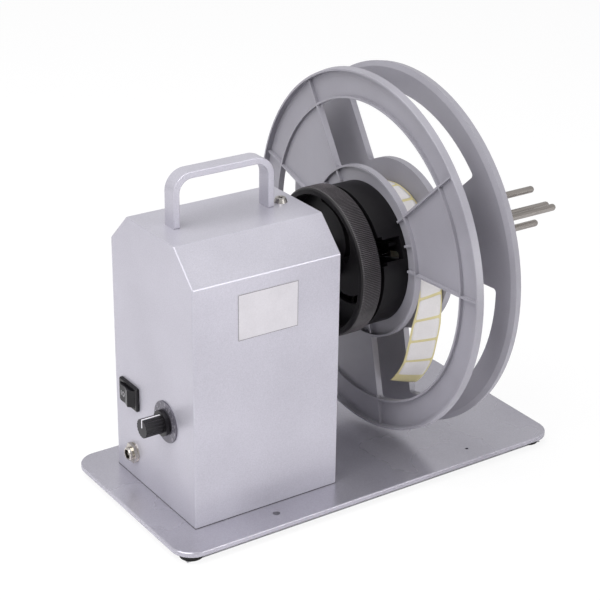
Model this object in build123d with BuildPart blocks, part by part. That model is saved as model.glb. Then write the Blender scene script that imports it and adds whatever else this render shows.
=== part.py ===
"""Bench label rewinder: a geared motor in a folded steel case turns a two-flange reel.

Millimetres, +Z up. The front of the case faces -Y and the reel is on its +X side.
The origin is under the middle of the whole machine, on the surface that the feet stand on.
"""

import os
from math import atan2, cos, radians, sin, tau

from build123d import *

# ---------------------------------------------------------------- driving dimensions

# base plate and feet
foot_height = 5.0
foot_radius = 8.0
foot_inset = 11.5
foot_recess_depth = 3.0
foot_hole_depth = 2.3
plate_thick = 3.0
plate_left = -155.0
plate_right = 112.0
plate_front = -66.8
plate_back = 64.4
plate_corner_radius = 13.0
plate_top = foot_height + plate_thick

# case
case_left = -134.5
case_width = 95.4
case_depth = 90.0
case_wall_height = 146.2
case_height = 164.7
case_slope_inset = 19.0
case_bend_radius = 1.8
sheet_thick = 1.5
case_right = case_left + case_width
case_top = plate_top + case_height

# shaft and reel
axis_z = plate_top + 121.2
spindle_tip = 155.0
rod_tip = 149.5
rod_radius = 2.25
rod_circle_radius = 12.6
rod_full_travel = 23.3
first_rod_angle = 44.0
bearing_length = 7.0
bearing_radius = 11.0
shaft_radius = 4.0
boss_radius = 7.2
running_gap = 0.05
seat_gap = 0.01
face_gap = 0.3

# hub, scroll ring and flanges, as positions along X and radii
boss_left = -21.7
ring_left = -22.9
ring_right = -8.9
ring_radius = 44.2
ring_wall = 3.4
ring_web = 3.0
hub_left = -6.2
hub_radius = 42.8
hub_wall = 3.0
flange_gap_left = 12.9
flange_gap_right = 33.1
flange_radius = 110.0
flange_disc_thick = 1.9
flange_rim_depth = 5.7
flange_rim_width = 2.1
rim_bevel_width = 3.1
rim_bevel_depth = 1.4
rim_taper = 0.7
rim_round = 0.6
rib_thick = 1.3
rib_height = 2.1
inner_rib_height = 2.4
window_inner_radius = 52.3
inner_flange_window_radius = 91.6
outer_flange_window_radius = 94.3
window_corner_radius = 2.2
first_sector_angle = 37.2
sector_half_angle = 20.0

# label roll between the flanges
core_bore_radius = 20.0
core_wall = 2.5
roll_radius = 38.5
web_clearance = 0.5
web_thick = 0.4

# control panel on the case's left end, as (Y, Z) places
switch_centre = (27.2, 62.2)
dial_centre = (-14.2, 62.6)
inlet_centre = (24.4, 25.1)

screw_radius = 1.5
screw_hole_radius = 1.6

# ---------------------------------------------------------------- values that follow

hub_right = flange_gap_left - flange_disc_thick
hub_web_left = hub_right - hub_wall
web_left = flange_gap_left + web_clearance
web_right = flange_gap_right - web_clearance
rod_angles = [first_rod_angle + 120.0 * turn for turn in range(3)]
sector_angles = [first_sector_angle + 120.0 * turn for turn in range(3)]
window_angles = [angle + 60.0 for angle in sector_angles]
spindle_line = Axis((0, 0, axis_z), (1, 0, 0))
BASE = (Align.CENTER, Align.CENTER, Align.MIN)


def across_axis(x):
    """Plane square to the spindle at x: local x is +Y, local y is +Z, from the spindle's line."""
    return Plane(origin=(x, 0, axis_z), x_dir=(0, 1, 0), z_dir=(1, 0, 0))


def on_panel(centre, x=case_left):
    """Plane on the left end of the case, facing out: local x is -Y, local y is +Z."""
    return Plane(origin=(x, centre[0], centre[1]), x_dir=(0, -1, 0), z_dir=(-1, 0, 0))


def polar(radius, angle):
    """Point at a radius and an angle in degrees."""
    return (radius * cos(radians(angle)), radius * sin(radians(angle)))


def round_bar(plane, radius, length, mode=Mode.ADD):
    """Round bar or hole that starts on a plane and runs along its normal."""
    with BuildSketch(plane) as section:
        Circle(radius)
    extrude(section.sketch, amount=length, mode=mode)


def disc(x_from, x_to, radius, mode=Mode.ADD):
    """Round bar or hole on the spindle's line, from one place along X to another."""
    round_bar(across_axis(x_from), radius, x_to - x_from, mode)


def pan_screw(plane, head_radius, head_height, shank_radius, shank_length):
    """Cross-recess pan screw: its head stands on the plane and its shank goes down through it."""
    with BuildSketch(plane) as head:
        Circle(head_radius)
    extrude(head.sketch, amount=head_height, taper=22)
    with BuildSketch(plane.offset(head_height)) as recess:
        Rectangle(head_radius * 0.95, head_radius * 0.2)
        Rectangle(head_radius * 0.2, head_radius * 0.95)
    extrude(recess.sketch, amount=-head_height * 0.55, mode=Mode.SUBTRACT)
    round_bar(plane, shank_radius, -shank_length)


def keep(made, name):
    """Label a finished piece and write it under its own name."""
    made.part.label = name
    export_step(made.part, f"parts/{name}.step")


os.makedirs("parts", exist_ok=True)

# ---------------------------------------------------------------- base plate, feet and screws

plate_middle = ((plate_left + plate_right) / 2, (plate_front + plate_back) / 2)
foot_places = [
    (x, y)
    for x in (plate_left + foot_inset, plate_right - foot_inset)
    for y in (plate_front + foot_inset, plate_back - foot_inset)
]
bench_hole = (-86.7, -54.8)
bench_hole_radius = 2.15
pilot_hole = (52.5, -54.5)
pilot_hole_radius = 1.0
tab_places = [(x, y) for x in (-115.0, -67.0) for y in (-37.0, 37.0)]
wall_screw_places = [(case_right - 10.0, y) for y in (-28.0, 28.0)]
bracket_screw_places = [(-63.0, y) for y in (-16.0, 16.0)]
board_corner = (-121.0, -32.0)
board_size = (40.0, 52.0)
board_z = plate_top + 10.0
standoff_places = [
    (board_corner[0] + along, board_corner[1] + across)
    for along in (4.0, board_size[0] - 4.0)
    for across in (4.0, board_size[1] - 4.0)
]
under_screw_places = tab_places + wall_screw_places + bracket_screw_places + standoff_places

with BuildPart() as base_plate:
    with BuildSketch(Plane.XY.offset(foot_height)):
        with Locations(plate_middle):
            RectangleRounded(plate_right - plate_left, plate_back - plate_front, plate_corner_radius)
    extrude(amount=plate_thick)
    chamfer(base_plate.faces().sort_by(Axis.Z)[-1].edges(), length=0.5)
    with BuildSketch(Plane.XY.offset(foot_height)):
        with Locations(bench_hole):
            Circle(bench_hole_radius)
        with Locations(pilot_hole):
            Circle(pilot_hole_radius)
        with Locations(under_screw_places):
            Circle(screw_hole_radius)
    extrude(amount=plate_thick, mode=Mode.SUBTRACT)
    with BuildSketch(Plane.XY.offset(foot_height)):
        with Locations(foot_places):
            Circle(screw_hole_radius)
    extrude(amount=foot_hole_depth, mode=Mode.SUBTRACT)
keep(base_plate, "base_plate")

with BuildPart() as rubber_feet:
    with Locations([(x, y, 0) for x, y in foot_places]):
        Cone(foot_radius - 1.2, foot_radius, foot_height, align=BASE)
        Cylinder(3.4, foot_recess_depth, align=BASE, mode=Mode.SUBTRACT)
        Cylinder(screw_hole_radius, foot_height, align=BASE, mode=Mode.SUBTRACT)
keep(rubber_feet, "rubber_feet")

with BuildPart() as foot_screws:
    for x, y in foot_places:
        down = Plane(origin=(x, y, foot_recess_depth), z_dir=(0, 0, -1))
        pan_screw(down, 2.9, 2.0, screw_radius, foot_height - foot_recess_depth + foot_hole_depth - 0.2)
keep(foot_screws, "foot_screws")

with BuildPart() as plate_screws:
    for x, y in under_screw_places:
        down = Plane(origin=(x, y, foot_height), z_dir=(0, 0, -1))
        pan_screw(down, 2.8, 2.0, screw_radius, plate_thick + sheet_thick)
keep(plate_screws, "plate_screws")

# ---------------------------------------------------------------- case and handle

half_depth = case_depth / 2
bar_thick = 4.0
bar_width = 10.0
handle_left = -121.9
handle_right = -56.9
handle_height = 31.3
handle_bend_radius = 12.0
handle_screw_places = [(x, 0.0) for x in (handle_left + bar_thick / 2, handle_right - bar_thick / 2)]
handle_screw_radius = 1.25
top_screw_place = (-49.4, 0.0)
top_screw_radius = 1.95
bezel_size = (21.0, 15.0)
switch_body_size = (18.8, 12.6)
bushing_radius = 3.5
inlet_radius = 3.95
case_outline = [
    (-half_depth, plate_top),
    (-half_depth, plate_top + case_wall_height),
    (-half_depth + case_slope_inset, case_top),
    (half_depth - case_slope_inset, case_top),
    (half_depth, plate_top + case_wall_height),
    (half_depth, plate_top),
]

with BuildPart() as case_shell:
    with BuildSketch(Plane.YZ.offset(case_left)):
        with BuildLine():
            Polyline(case_outline, close=True)
        make_face()
    extrude(amount=case_width)
    bends = case_shell.edges().filter_by(Axis.X).group_by(Axis.Z)[1:]
    fillet([edge for level in bends for edge in level], radius=case_bend_radius)
    left_end = case_shell.faces().sort_by(Axis.X)[0]
    fillet(left_end.edges().sort_by(Axis.Z)[1:], radius=0.7)
    open_faces = [case_shell.faces().sort_by(Axis.Z)[0], case_shell.faces().sort_by(Axis.X)[-1]]
    offset(amount=-sheet_thick, openings=open_faces)
    with BuildSketch(Plane.XY.offset(plate_top)):
        for x, y in tab_places:
            side = 1 if y > 0 else -1
            with Locations((x, side * (half_depth - 7.0))):
                Rectangle(14.0, 12.0)
    extrude(amount=sheet_thick)
    with Locations([(x, y, plate_top) for x, y in tab_places]):
        Cylinder(screw_hole_radius, 2 * sheet_thick, mode=Mode.SUBTRACT)
    with BuildSketch(on_panel(switch_centre)):
        Rectangle(switch_body_size[0] + 0.2, switch_body_size[1] + 0.2)
    extrude(amount=-2 * sheet_thick, mode=Mode.SUBTRACT)
    round_bar(on_panel(dial_centre), bushing_radius + 0.1, -2 * sheet_thick, Mode.SUBTRACT)
    round_bar(on_panel(inlet_centre), inlet_radius + 0.1, -2 * sheet_thick, Mode.SUBTRACT)
    with Locations([(x, y, case_top) for x, y in handle_screw_places]):
        Cylinder(handle_screw_radius + 0.1, 4 * sheet_thick, mode=Mode.SUBTRACT)
    with Locations((top_screw_place[0], top_screw_place[1], case_top)):
        Cylinder(top_screw_radius + 0.1, 4 * sheet_thick, mode=Mode.SUBTRACT)
keep(case_shell, "case_shell")

handle_middle = ((handle_left + handle_right) / 2, case_top)
handle_length = handle_right - handle_left
from_below = (Align.CENTER, Align.MIN)

with BuildPart() as carry_handle:
    with BuildSketch(Plane.XZ):
        with Locations(handle_middle):
            Rectangle(handle_length, handle_height, align=from_below)
        fillet(vertices().group_by(Axis.Y)[-1], radius=handle_bend_radius)
        with BuildSketch(mode=Mode.SUBTRACT):
            with Locations(handle_middle):
                Rectangle(handle_length - 2 * bar_thick, handle_height - bar_thick, align=from_below)
            fillet(vertices().group_by(Axis.Y)[-1], radius=handle_bend_radius - bar_thick)
    extrude(amount=bar_width / 2, both=True)
    flanks = carry_handle.faces().filter_by(Axis.Y)
    fillet(flanks.edges(), radius=0.5)
    with Locations([(x, y, case_top) for x, y in handle_screw_places]):
        Cylinder(handle_screw_radius + seat_gap, 12.0, align=BASE, mode=Mode.SUBTRACT)
keep(carry_handle, "carry_handle")

with BuildPart() as handle_screws:
    for x, y in handle_screw_places:
        down = Plane(origin=(x, y, case_top - sheet_thick), z_dir=(0, 0, -1))
        pan_screw(down, 2.3, 1.6, handle_screw_radius, 12.0)
keep(handle_screws, "handle_screws")

with BuildPart() as top_screw:
    head_plane = Plane(origin=(top_screw_place[0], top_screw_place[1], case_top), z_dir=(0, 0, 1))
    pan_screw(head_plane, 4.0, 2.6, top_screw_radius, 9.0)
keep(top_screw, "top_screw")

# a blank name plate on the case's front
name_plate_size = (39.1, 27.4)
name_plate_centre = (-86.6, 131.3)
name_plate_thick = 0.3

with BuildPart() as name_plate:
    with BuildSketch(Plane.XZ.offset(half_depth)):
        with Locations(name_plate_centre):
            Rectangle(*name_plate_size)
    extrude(amount=name_plate_thick)
keep(name_plate, "name_plate")

# ---------------------------------------------------------------- right wall and main bearing

wall_thick = 3.0
wall_inset = sheet_thick + 0.3
wall_left = case_right - wall_thick
bearing_right = wall_left
bearing_left = bearing_right - bearing_length
housing_flange_radius = 19.0
housing_boss_radius = 13.5
housing_screw_circle = 16.2
housing_screw_angles = (90.0, 210.0, 330.0)

with BuildPart() as bearing_wall:
    with BuildSketch(Plane.YZ.offset(wall_left)):
        with BuildLine():
            Polyline(case_outline, close=True)
        make_face()
        offset(amount=-wall_inset, kind=Kind.INTERSECTION)
        with Locations((0, plate_top)):
            Rectangle(case_depth - 2 * wall_inset, 10.0, align=from_below)
    extrude(amount=wall_thick)
    with BuildSketch(Plane.XY.offset(plate_top)):
        with Locations((wall_left, 0)):
            Rectangle(14.0, case_depth - 18.0, align=(Align.MAX, Align.CENTER))
    extrude(amount=wall_thick)
    with BuildSketch(Plane.XY.offset(case_top - wall_inset)):
        with Locations((wall_left, 0)):
            Rectangle(14.0, 18.0, align=(Align.MAX, Align.CENTER))
    extrude(amount=-wall_thick)
    disc(wall_left, case_right, bearing_radius + 0.3, Mode.SUBTRACT)
    for angle in housing_screw_angles:
        side, up = polar(housing_screw_circle, angle)
        screw_plane = Plane(origin=(wall_left, side, axis_z + up), z_dir=(1, 0, 0))
        round_bar(screw_plane, screw_hole_radius, wall_thick, Mode.SUBTRACT)
    with Locations([(x, y, plate_top) for x, y in wall_screw_places]):
        Cylinder(screw_hole_radius, 4 * wall_thick, mode=Mode.SUBTRACT)
    with Locations((top_screw_place[0], top_screw_place[1], case_top)):
        Cylinder(top_screw_radius + 0.05, 6 * wall_thick, mode=Mode.SUBTRACT)
keep(bearing_wall, "bearing_wall")

with BuildPart() as bearing_housing:
    disc(wall_left - 4.0, wall_left, housing_flange_radius)
    disc(bearing_left - 1.0, wall_left, housing_boss_radius)
    disc(bearing_left, wall_left, bearing_radius, Mode.SUBTRACT)
    disc(bearing_left - 1.0, bearing_left, bearing_radius - 2.0, Mode.SUBTRACT)
    for angle in housing_screw_angles:
        side, up = polar(housing_screw_circle, angle)
        screw_plane = Plane(origin=(wall_left - 4.0, side, axis_z + up), z_dir=(1, 0, 0))
        round_bar(screw_plane, screw_hole_radius, 4.0, Mode.SUBTRACT)
keep(bearing_housing, "bearing_housing")

with BuildPart() as bearing_screws:
    for angle in housing_screw_angles:
        side, up = polar(housing_screw_circle, angle)
        screw_plane = Plane(origin=(wall_left - 4.0, side, axis_z + up), z_dir=(-1, 0, 0))
        pan_screw(screw_plane, 2.5, 2.0, screw_radius, 7.0)
keep(bearing_screws, "bearing_screws")

with BuildPart() as bearing_outer:
    disc(bearing_left, bearing_right, bearing_radius - seat_gap)
    disc(bearing_left, bearing_right, 5.9, Mode.SUBTRACT)
    for face_x, depth in ((bearing_left, 0.4), (bearing_right, -0.4)):
        with BuildSketch(across_axis(face_x)):
            Circle(8.8)
            Circle(6.4, mode=Mode.SUBTRACT)
        extrude(amount=depth, mode=Mode.SUBTRACT)
keep(bearing_outer, "bearing_outer")

with BuildPart() as bearing_inner:
    disc(bearing_left, bearing_right, 5.6)
    disc(bearing_left, bearing_right, shaft_radius + seat_gap, Mode.SUBTRACT)
keep(bearing_inner, "bearing_inner")

# ---------------------------------------------------------------- gear motor and its bracket

bracket_right = -67.5
bracket_left = bracket_right - wall_thick
motor_axis_drop = 7.0
gearbox_radius = 18.5
gearbox_length = 22.0
motor_radius = 16.5
motor_length = 32.0
output_radius = 3.0
output_boss_radius = 6.0
motor_screw_circle = 15.5
motor_screw_angles = (45.0, 135.0, 225.0, 315.0)
motor_screw_depth = 6.0
gearbox_left = bracket_left - gearbox_length
motor_left = gearbox_left - motor_length


def on_motor(x, radius=0.0, angle=0.0):
    """Plane square to the motor at x, facing +X, at a radius and an angle from the motor's axis."""
    side, up = polar(radius, angle)
    return Plane(origin=(x, side, axis_z - motor_axis_drop + up), z_dir=(1, 0, 0))


with BuildPart() as motor_bracket:
    with BuildSketch(Plane.YZ.offset(bracket_left)):
        with Locations((0, plate_top)):
            Rectangle(44.0, axis_z - motor_axis_drop + 22.0 - plate_top, align=from_below)
        fillet(vertices().group_by(Axis.Y)[-1], radius=8.0)
    extrude(amount=wall_thick)
    with BuildSketch(Plane.XY.offset(plate_top)):
        with Locations((bracket_left, 0)):
            Rectangle(12.5, 44.0, align=(Align.MIN, Align.CENTER))
    extrude(amount=wall_thick)
    disc(bracket_left, bracket_right, output_boss_radius + 0.2, Mode.SUBTRACT)
    for angle in motor_screw_angles:
        hole_plane = on_motor(bracket_left, motor_screw_circle, angle)
        round_bar(hole_plane, screw_hole_radius, wall_thick, Mode.SUBTRACT)
    with Locations([(x, y, plate_top) for x, y in bracket_screw_places]):
        Cylinder(screw_hole_radius, 4 * wall_thick, mode=Mode.SUBTRACT)
    with BuildSketch(Plane.YZ.offset(bracket_left)):
        with Locations((0, 52.0)):
            RectangleRounded(24.0, 50.0, 6.0)
    extrude(amount=wall_thick, mode=Mode.SUBTRACT)
keep(motor_bracket, "motor_bracket")

with BuildPart() as gearbox:
    round_bar(on_motor(bracket_left), gearbox_radius, -gearbox_length)
    disc(bracket_left, bracket_right, output_boss_radius)
    disc(bracket_left - 12.0, bracket_right, output_radius + running_gap, Mode.SUBTRACT)
    for angle in motor_screw_angles:
        hole_plane = on_motor(bracket_left, motor_screw_circle, angle)
        round_bar(hole_plane, screw_radius + seat_gap, -motor_screw_depth, Mode.SUBTRACT)
keep(gearbox, "gearbox")

with BuildPart() as motor_can:
    round_bar(on_motor(gearbox_left), motor_radius, -motor_length)
    fillet(motor_can.faces().sort_by(Axis.X)[0].edges(), radius=2.0)
    round_bar(on_motor(motor_left), 5.0, -2.0)
    for side in (-1, 1):
        with BuildSketch(on_motor(motor_left)):
            with Locations((0, side * 9.5)):
                Rectangle(0.8, 2.8)
        extrude(amount=-5.0)
keep(motor_can, "motor_can")

with BuildPart() as motor_screws:
    for angle in motor_screw_angles:
        side, up = polar(motor_screw_circle, angle)
        head_plane = Plane(origin=(bracket_right, side, axis_z - motor_axis_drop + up), z_dir=(1, 0, 0))
        pan_screw(head_plane, 2.7, 2.0, screw_radius, wall_thick + motor_screw_depth - 0.5)
keep(motor_screws, "motor_screws")

coupling_left = -65.5
coupling_right = bearing_left - 1.5
shaft_meeting = -58.5
coupling_radius = 7.0

with BuildPart() as output_shaft:
    disc(bracket_left - 11.5, shaft_meeting, output_radius)
keep(output_shaft, "output_shaft")

with BuildPart() as shaft_coupling:
    disc(coupling_left, coupling_right, coupling_radius)
    disc(coupling_left, shaft_meeting, output_radius + seat_gap, Mode.SUBTRACT)
    disc(shaft_meeting, coupling_right, shaft_radius + seat_gap, Mode.SUBTRACT)
    for x in (coupling_left + 3.0, coupling_right - 3.0):
        hole_plane = Plane(origin=(x, 0, axis_z), z_dir=(0, 0, 1))
        round_bar(hole_plane, screw_hole_radius, coupling_radius + 1.0, Mode.SUBTRACT)
keep(shaft_coupling, "shaft_coupling")

with BuildPart() as coupling_screws:
    for x, shaft in ((coupling_left + 3.0, output_radius), (coupling_right - 3.0, shaft_radius)):
        foot_plane = Plane(origin=(x, 0, axis_z + shaft + 0.02), z_dir=(0, 0, 1))
        round_bar(foot_plane, screw_radius, coupling_radius - shaft - 0.5)
        with BuildSketch(foot_plane.offset(coupling_radius - shaft - 0.5)) as socket:
            RegularPolygon(0.75, 6, major_radius=False)
        extrude(socket.sketch, amount=-1.2, mode=Mode.SUBTRACT)
keep(coupling_screws, "coupling_screws")

# ---------------------------------------------------------------- spindle and hub

shoulder_left = wall_left + 0.2
shoulder_radius = 5.5
carrier_half_width = 5.9
carrier_inner = 9.5
carrier_outer = 15.7
carrier_left = -2.4
follower_radius = 2.0
slot_half_width = rod_radius + 0.35
slot_end_radius = rod_circle_radius + rod_full_travel
rail_inner = 10.6
rail_outer = hub_radius - hub_wall
rail_thick = 2.0
rail_height = 5.0
rail_middle = carrier_half_width + face_gap + rail_thick / 2
boss_step_radius = 8.6
boss_step_right = carrier_left - 1.0
notch_width = 13.4
notch_mouth_width = 17.0
notch_mouth_depth = 2.6
notch_reach = 2 * hub_wall + 4.0
flange_screw_circle = 30.0
set_screw_x = -18.6
set_screw_radius = 1.2
clip_groove_left = -17.0
clip_thick = 1.2
clip_groove_depth = 0.9


def in_radial_direction(x, angle):
    """Plane at x, facing +X, whose local x runs outwards from the spindle at an angle."""
    across, up = polar(1.0, angle)
    return Plane(origin=(x, 0, axis_z), x_dir=(0, across, up), z_dir=(1, 0, 0))


def rod_slot(x_from, x_to, angle):
    """Slot that a rod's path leaves through a disc, from one place along X to another."""
    with BuildSketch(in_radial_direction(x_from, angle)) as slot:
        with Locations(((rod_circle_radius + slot_end_radius) / 2, 0)):
            SlotCenterToCenter(rod_full_travel, 2 * slot_half_width)
    extrude(slot.sketch, amount=x_to - x_from, mode=Mode.SUBTRACT)


with BuildPart() as spindle:
    disc(shaft_meeting + 0.2, hub_right, shaft_radius)
    disc(shoulder_left, boss_left - 0.1, shoulder_radius)
    disc(hub_right, spindle_tip, rod_radius)
    fillet(spindle.faces().sort_by(Axis.X)[-1].edges(), radius=rod_radius - 0.1)
keep(spindle, "spindle")

with BuildPart() as hub_body:
    disc(boss_left, hub_right, boss_radius)
    disc(hub_left, hub_right, hub_radius)
    disc(hub_left, hub_web_left, rail_outer, Mode.SUBTRACT)
    disc(hub_left, hub_web_left, boss_radius)
    disc(ring_right + face_gap, boss_step_right, boss_step_radius)
    for angle in rod_angles:
        with BuildSketch(in_radial_direction(hub_web_left, angle)):
            for side in (-1, 1):
                with Locations(((rail_inner + rail_outer) / 2, side * rail_middle)):
                    Rectangle(rail_outer - rail_inner + 0.6, rail_thick)
        extrude(amount=-rail_height)
    for angle in sector_angles:
        with BuildSketch(in_radial_direction(hub_left, angle)):
            with Locations((hub_radius, 0)):
                Rectangle(notch_reach, notch_width)
        extrude(amount=hub_web_left - hub_left, mode=Mode.SUBTRACT)
        with BuildSketch(in_radial_direction(hub_left, angle)):
            with Locations((hub_radius, 0)):
                Rectangle(notch_reach, notch_mouth_width)
        extrude(amount=notch_mouth_depth, mode=Mode.SUBTRACT)
    for angle in rod_angles:
        rod_slot(hub_web_left, hub_right, angle)
    for angle in window_angles:
        side, up = polar(flange_screw_circle, angle)
        screw_plane = Plane(origin=(hub_web_left, side, axis_z + up), z_dir=(1, 0, 0))
        round_bar(screw_plane, screw_hole_radius, hub_wall, Mode.SUBTRACT)
    disc(boss_left, hub_right, shaft_radius + seat_gap, Mode.SUBTRACT)
    with BuildSketch(across_axis(clip_groove_left)):
        Circle(boss_radius)
        Circle(boss_radius - clip_groove_depth, mode=Mode.SUBTRACT)
    extrude(amount=clip_thick + 0.1, mode=Mode.SUBTRACT)
    set_screw_plane = Plane(origin=(set_screw_x, 0, axis_z), z_dir=(0, 0, 1))
    round_bar(set_screw_plane, set_screw_radius + 0.1, boss_radius + 1.0, Mode.SUBTRACT)
keep(hub_body, "hub_body")

with BuildPart() as hub_set_screw:
    round_bar(set_screw_plane.offset(shaft_radius + 0.02), set_screw_radius, 2.6)
keep(hub_set_screw, "hub_set_screw")

with BuildPart() as ring_clip:
    with BuildSketch(across_axis(clip_groove_left + 0.05)):
        Circle(boss_radius + 2.4)
        Circle(boss_radius - clip_groove_depth + 0.1, mode=Mode.SUBTRACT)
        with Locations((boss_radius + 1.0, 0)):
            Rectangle(4.0, 7.0, mode=Mode.SUBTRACT)
    extrude(amount=clip_thick)
keep(ring_clip, "ring_clip")

# ---------------------------------------------------------------- scroll ring, carriers and rods

scroll_rise = 0.25  # how far the rods move out for each degree that the ring turns
scroll_sweep = rod_full_travel / scroll_rise
scroll_slot_half_width = follower_radius + face_gap
sleeve_radius = 10.0
sleeve_left = ring_right - 6.6
scroll_steps = 8


def scroll_point(along, sideways):
    """Point beside the spiral: along it in degrees, and sideways from it, square to it."""
    radius = rod_circle_radius + scroll_rise * along
    lean = atan2(scroll_rise * 360.0 / tau, radius)
    x, y = polar(radius, -along)
    outward = radians(-along) + lean
    return (x + sideways * cos(outward), y + sideways * sin(outward))


def scroll_edge(sideways):
    """Points along one edge of the spiral slot."""
    return [scroll_point(scroll_sweep * step / scroll_steps, sideways) for step in range(scroll_steps + 1)]


with BuildPart() as scroll_ring:
    disc(ring_left, ring_right, ring_radius)
    disc(ring_left, ring_right - ring_web, ring_radius - ring_wall, Mode.SUBTRACT)
    circles = scroll_ring.edges().filter_by(GeomType.CIRCLE)
    chamfer(circles.filter_by(lambda circle: circle.radius > ring_radius - 0.1), length=0.8)
    disc(sleeve_left, ring_right, sleeve_radius)
    disc(sleeve_left, ring_right, boss_radius + running_gap, Mode.SUBTRACT)
    for angle in rod_angles:
        with BuildSketch(in_radial_direction(ring_right - ring_web, angle)):
            with BuildLine():
                near_edge = Spline(scroll_edge(-scroll_slot_half_width))
                far_edge = Spline(scroll_edge(scroll_slot_half_width))
                Line(near_edge @ 0, far_edge @ 0)
                Line(near_edge @ 1, far_edge @ 1)
            make_face()
            with Locations(scroll_point(0, 0), scroll_point(scroll_sweep, 0)):
                Circle(scroll_slot_half_width)
        extrude(amount=ring_web, mode=Mode.SUBTRACT)
keep(scroll_ring, "scroll_ring")

for number, angle in enumerate(rod_angles, start=1):
    with BuildPart() as rod_carrier:
        with BuildSketch(in_radial_direction(carrier_left, angle)):
            with Locations(((carrier_inner + carrier_outer) / 2, 0)):
                Rectangle(carrier_outer - carrier_inner, 2 * carrier_half_width)
        extrude(amount=hub_web_left - face_gap - carrier_left)
        side, up = polar(rod_circle_radius, angle)
        pin_plane = Plane(origin=(ring_right - ring_web + face_gap, side, axis_z + up), z_dir=(1, 0, 0))
        round_bar(pin_plane, follower_radius, carrier_left - ring_right + ring_web)
        bore_plane = Plane(origin=(carrier_left + 2.0, side, axis_z + up), z_dir=(1, 0, 0))
        round_bar(bore_plane, rod_radius + seat_gap, hub_right - carrier_left, Mode.SUBTRACT)
    keep(rod_carrier, f"rod_carrier_{number}")

    with BuildPart() as rod:
        round_bar(bore_plane, rod_radius, rod_tip - carrier_left - 2.0)
        fillet(rod.faces().sort_by(Axis.X)[-1].edges(), radius=rod_radius - 0.1)
    keep(rod, f"rod_{number}")

# ---------------------------------------------------------------- flanges


def flange_blank(smooth_x, outward, window_outer_radius):
    """Round disc, smooth on one side, with a rim, ring ribs and radial ribs on the side called outward."""
    ribs_x = smooth_x + outward * flange_disc_thick
    rim_inner = flange_radius - flange_rim_width
    half_section = Plane(origin=(smooth_x, 0, axis_z), x_dir=(outward, 0, 0), z_dir=(0, -outward, 0))
    with BuildSketch(half_section) as section:
        with BuildLine():
            Polyline(
                (0, 0),
                (0, flange_radius - rim_bevel_width),
                (rim_bevel_depth, flange_radius),
                (flange_rim_depth, flange_radius - rim_taper),
                (flange_rim_depth, rim_inner),
                (flange_disc_thick, rim_inner),
                (flange_disc_thick, 0),
                close=True,
            )
        make_face()
        rim_edge = (flange_rim_depth, flange_radius - rim_taper)
        fillet(section.vertices().sort_by_distance(rim_edge)[0], radius=rim_round)
    revolve(section.sketch, axis=spindle_line)
    with BuildSketch(across_axis(ribs_x)) as outer_ring:
        Circle(window_outer_radius + rib_thick)
        Circle(window_outer_radius, mode=Mode.SUBTRACT)
    extrude(outer_ring.sketch, amount=outward * rib_height)
    with BuildSketch(across_axis(ribs_x)) as inner_ring:
        Circle(window_inner_radius)
        Circle(window_inner_radius - rib_thick, mode=Mode.SUBTRACT)
    extrude(inner_ring.sketch, amount=outward * inner_rib_height)
    with BuildSketch(across_axis(ribs_x)) as radial_ribs:
        for angle in sector_angles:
            for side in (-1, 1):
                edge_angle = angle + side * sector_half_angle
                middle = polar((hub_radius + 1.5 + flange_radius - flange_rim_width) / 2, edge_angle)
                inset = polar(rib_thick / 2, edge_angle - side * 90.0)
                with Locations(Location((middle[0] + inset[0], middle[1] + inset[1]), edge_angle)):
                    Rectangle(flange_radius - flange_rim_width - hub_radius - 1.0, rib_thick)
            with Locations(Location(polar((hub_radius + window_inner_radius) / 2, angle), angle)):
                Rectangle(window_inner_radius - hub_radius - 2.0, rib_thick)
    extrude(radial_ribs.sketch, amount=outward * rib_height)
    with BuildSketch(across_axis(smooth_x)) as windows:
        Circle(window_outer_radius)
        Circle(window_inner_radius, mode=Mode.SUBTRACT)
        for angle in sector_angles:
            corners = [polar(2 * flange_radius, angle + side * sector_half_angle) for side in (-1, 1)]
            with BuildLine():
                Polyline((0, 0), corners[0], corners[1], close=True)
            make_face(mode=Mode.SUBTRACT)
        fillet(vertices(), radius=window_corner_radius)
    extrude(windows.sketch, amount=outward * (flange_rim_depth + inner_rib_height), mode=Mode.SUBTRACT)


with BuildPart() as inner_flange:
    flange_blank(flange_gap_left, -1, inner_flange_window_radius)
    disc(hub_right, flange_gap_left, boss_radius + 0.5, Mode.SUBTRACT)
    for angle in rod_angles:
        rod_slot(hub_right, flange_gap_left, angle)
    for angle in window_angles:
        side, up = polar(flange_screw_circle, angle)
        screw_plane = Plane(origin=(hub_right, side, axis_z + up), z_dir=(1, 0, 0))
        round_bar(screw_plane, screw_hole_radius, flange_disc_thick, Mode.SUBTRACT)
        sink_plane = Plane(origin=(flange_gap_left - 1.4, side, axis_z + up), z_dir=(1, 0, 0))
        with BuildSketch(sink_plane) as sink:
            Circle(screw_hole_radius)
        extrude(sink.sketch, amount=1.4, taper=-45, mode=Mode.SUBTRACT)
keep(inner_flange, "inner_flange")

with BuildPart() as flange_screws:
    for angle in window_angles:
        side, up = polar(flange_screw_circle, angle)
        sink_plane = Plane(origin=(flange_gap_left - 1.4, side, axis_z + up), z_dir=(1, 0, 0))
        with BuildSketch(sink_plane) as head:
            Circle(screw_radius)
        extrude(head.sketch, amount=1.3, taper=-45)
        round_bar(sink_plane, screw_radius, hub_web_left - flange_gap_left + 1.4)
keep(flange_screws, "flange_screws")

flange_boss_radius = 9.0
flange_boss_right = 46.0
bush_left = 40.5
bush_radius = 5.0

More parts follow.
